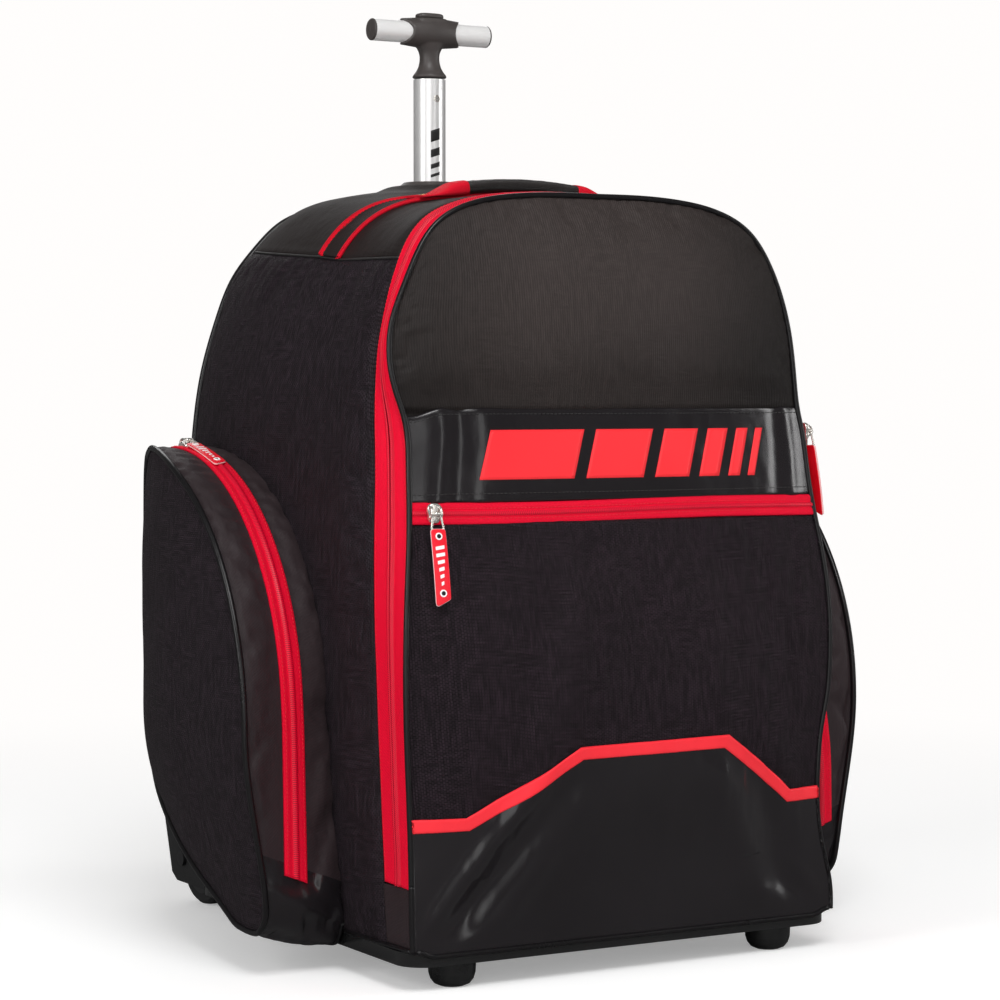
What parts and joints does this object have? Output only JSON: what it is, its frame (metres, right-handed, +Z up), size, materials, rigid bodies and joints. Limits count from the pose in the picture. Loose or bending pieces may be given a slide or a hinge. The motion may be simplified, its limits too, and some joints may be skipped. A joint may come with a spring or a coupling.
{
  "type": "wheeled hockey equipment bag",
  "caption": "Upright wheeled backpack bag for hockey kit, with a fold-down front flap, stuffed side pockets, a telescopic T tow handle, rear wheels and front feet.",
  "frame": {"origin": "on the ground, under the centre of the overall bounding box", "axes": "+Z up, -Y the front of the bag (the flap, front pocket and feet), +Y the back (straps and wheels), X across the bag"},
  "size_m": [0.6422, 0.5612, 0.866],
  "materials": {
    "foot_rubber": "black rubber, matt with a soft sheen",
    "tray_plastic": "moulded black plastic, glossy",
    "board_plastic": "extruded black sheet, matt",
    "steel": "zinc plated steel",
    "housing_plastic": "moulded black plastic, fine grain",
    "wheel_plastic": "moulded black plastic",
    "tyre_rubber": "black polyurethane tread",
    "bearing_steel": "bright bearing steel",
    "outer_tube_aluminium": "plain aluminium tube",
    "tube_aluminium": "satin anodised aluminium",
    "collar_plastic": "moulded black plastic",
    "hub_plastic": "satin black plastic",
    "button_plastic": "satin black plastic",
    "nickel": "polished nickel",
    "back_fabric": "padded black mesh and polyester",
    "side_fabric": "black polyester with a fine ladder weave",
    "strip_fabric": "smooth black polyester",
    "red_trim": "red piping cord and binding",
    "red_zip": "red woven zip tape with a nylon coil",
    "front_fabric": "smooth charcoal black polyester with a satin sheen",
    "pocket_fabric": "black crinkle weave polyester",
    "gusset_fabric": "smooth satin black polyester",
    "gloss_vinyl": "glossy black coated tarpaulin",
    "stripe_red": "glossy red coated tape",
    "black_piping": "glossy black piping cord",
    "handle_fabric": "padded black nylon",
    "strap_fabric": "padded black mesh",
    "webbing": "black nylon webbing",
    "buckle_plastic": "moulded black acetal",
    "pull_red": "red moulded tag with pale edges"
  },
  "bodies": {
    "bag": {"back_panel": "back_fabric", "side_panel_left": "side_fabric", "side_panel_right": "side_fabric", "top_panel": "side_fabric", "front_lower_panel": "gloss_vinyl", "base_tray": "tray_plastic", "base_board": "board_plastic", "top_strip": "strip_fabric", "top_strip_piping": "red_trim", "main_zip_tape_body": "red_zip", "left_pocket_gusset": "gusset_fabric", "left_pocket_face": "side_fabric", "left_pocket_zip_tape": "red_zip", "right_pocket_gusset": "gusset_fabric", "right_pocket_face": "side_fabric", "right_pocket_zip_tape": "red_zip", "pocket_piping": "black_piping", "handle_outer_tube": "outer_tube_aluminium", "handle_collar": "collar_plastic", "handle_foot_bracket": "board_plastic", "wheel_housing_left": "housing_plastic", "wheel_housing_right": "housing_plastic", "axles": "steel", "chassis_screws": "steel", "front_feet": "foot_rubber", "carry_handle_tabs": "red_trim", "shoulder_straps": "strap_fabric", "strap_webbing": "webbing", "strap_buckles": "buckle_plastic"},
    "front_flap": {"front_flap_panel": "front_fabric", "front_pocket_shell": "pocket_fabric", "gloss_band": "gloss_vinyl", "lower_guard": "gloss_vinyl", "guard_stripe": "stripe_red", "front_piping": "black_piping", "front_zip_tape": "red_zip", "main_zip_tape_flap": "red_zip"},
    "wheel_left": {"wheel_hub_left": "wheel_plastic", "tyre_left": "tyre_rubber", "bearings_left": "bearing_steel"},
    "wheel_right": {"wheel_hub_right": "wheel_plastic", "tyre_right": "tyre_rubber", "bearings_right": "bearing_steel"},
    "tow_handle": {"handle_inner_tube": "tube_aluminium", "handle_hub": "hub_plastic", "grip_bar": "tube_aluminium", "grip_end_caps": "hub_plastic", "hub_rivets": "nickel", "latch_spring": "steel"},
    "button": {"release_button": "button_plastic"},
    "latch": {"latch_pin": "steel"},
    "carry_handle": {"carry_handle_grip": "handle_fabric"},
    "front_slider": {"front_zip_slider": "nickel"},
    "front_pull": {"front_zip_pull": "pull_red"},
    "main_slider": {"main_zip_slider": "nickel"},
    "main_pull": {"main_zip_pull": "pull_red"},
    "left_slider": {"left_pocket_slider": "nickel"},
    "left_pull": {"left_pocket_pull": "pull_red"},
    "right_slider": {"right_pocket_slider": "nickel"},
    "right_pull": {"right_pocket_pull": "pull_red"}
  },
  "joints": [
    {"name": "front_flap_open", "type": "hinge", "parent": "bag", "child": "front_flap", "pos_m": [0, -0.2481, 0.09], "axis": [1, 0, 0], "range_deg": [0, 90]},
    {"name": "wheel_left_spin", "type": "hinge", "parent": "bag", "child": "wheel_left", "pos_m": [-0.1775, 0.2339, 0.047], "axis": [1, 0, 0], "continuous": true},
    {"name": "wheel_right_spin", "type": "hinge", "parent": "bag", "child": "wheel_right", "pos_m": [0.1775, 0.2339, 0.047], "axis": [1, 0, 0], "continuous": true},
    {"name": "tow_handle_extend", "type": "slide", "parent": "bag", "child": "tow_handle", "axis": [0, 0, 1], "range_m": [-0.097, 0.25]},
    {"name": "button_press", "type": "slide", "parent": "tow_handle", "child": "button", "axis": [0, 0, -1], "range_m": [0, 0.0035], "stiffness_N_per_m": 600, "springref_m": -0.002, "deforming": ["latch_spring"]},
    {"name": "latch_retract", "type": "slide", "parent": "tow_handle", "child": "latch", "axis": [0, -1, 0], "range_m": [0, 0.0028]},
    {"name": "carry_handle_lift", "type": "slide", "parent": "bag", "child": "carry_handle", "axis": [0, 0, 1], "range_m": [0, 0.022]},
    {"name": "front_zip_slide", "type": "hinge", "parent": "front_flap", "child": "front_slider", "pos_m": [0, 1.74027, 0.4], "axis": [0, 0, 1], "range_deg": [0, 10.7]},
    {"name": "front_pull_swing", "type": "hinge", "parent": "front_slider", "child": "front_pull", "pos_m": [-0.186, -0.23949, 0.4], "axis": [-0.9956, 0.0935, 0], "range_deg": [0, 150]},
    {"name": "main_zip_slide", "type": "hinge", "parent": "bag", "child": "main_slider", "pos_m": [-3.05565, -0.21428, 0.27284], "axis": [0, 0.998, -0.0633], "range_deg": [-0.6, 6.1]},
    {"name": "main_pull_swing", "type": "hinge", "parent": "main_slider", "child": "main_pull", "pos_m": [0.2223, -0.20207, 0.46554], "axis": [0, -0.998, 0.0633], "range_deg": [0, 150]},
    {"name": "left_zip_slide", "type": "hinge", "parent": "bag", "child": "left_slider", "pos_m": [0, 0.0929, 0.2205], "axis": [1, 0, 0], "range_deg": [0, 64]},
    {"name": "left_pull_swing", "type": "hinge", "parent": "left_slider", "child": "left_pull", "pos_m": [-0.27, 0.08049, 0.45727], "axis": [-1, 0, 0], "range_deg": [0, 120]},
    {"name": "right_zip_slide", "type": "hinge", "parent": "bag", "child": "right_slider", "pos_m": [0, 0.0929, 0.2205], "axis": [1, 0, 0], "range_deg": [0, 64]},
    {"name": "right_pull_swing", "type": "hinge", "parent": "right_slider", "child": "right_pull", "pos_m": [0.27, 0.08049, 0.45727], "axis": [-1, 0, 0], "range_deg": [0, 120]}
  ],
  "couplings": [
    {"joint": "latch_retract", "follows": "button_press", "ratio": 0.8}
  ]
}
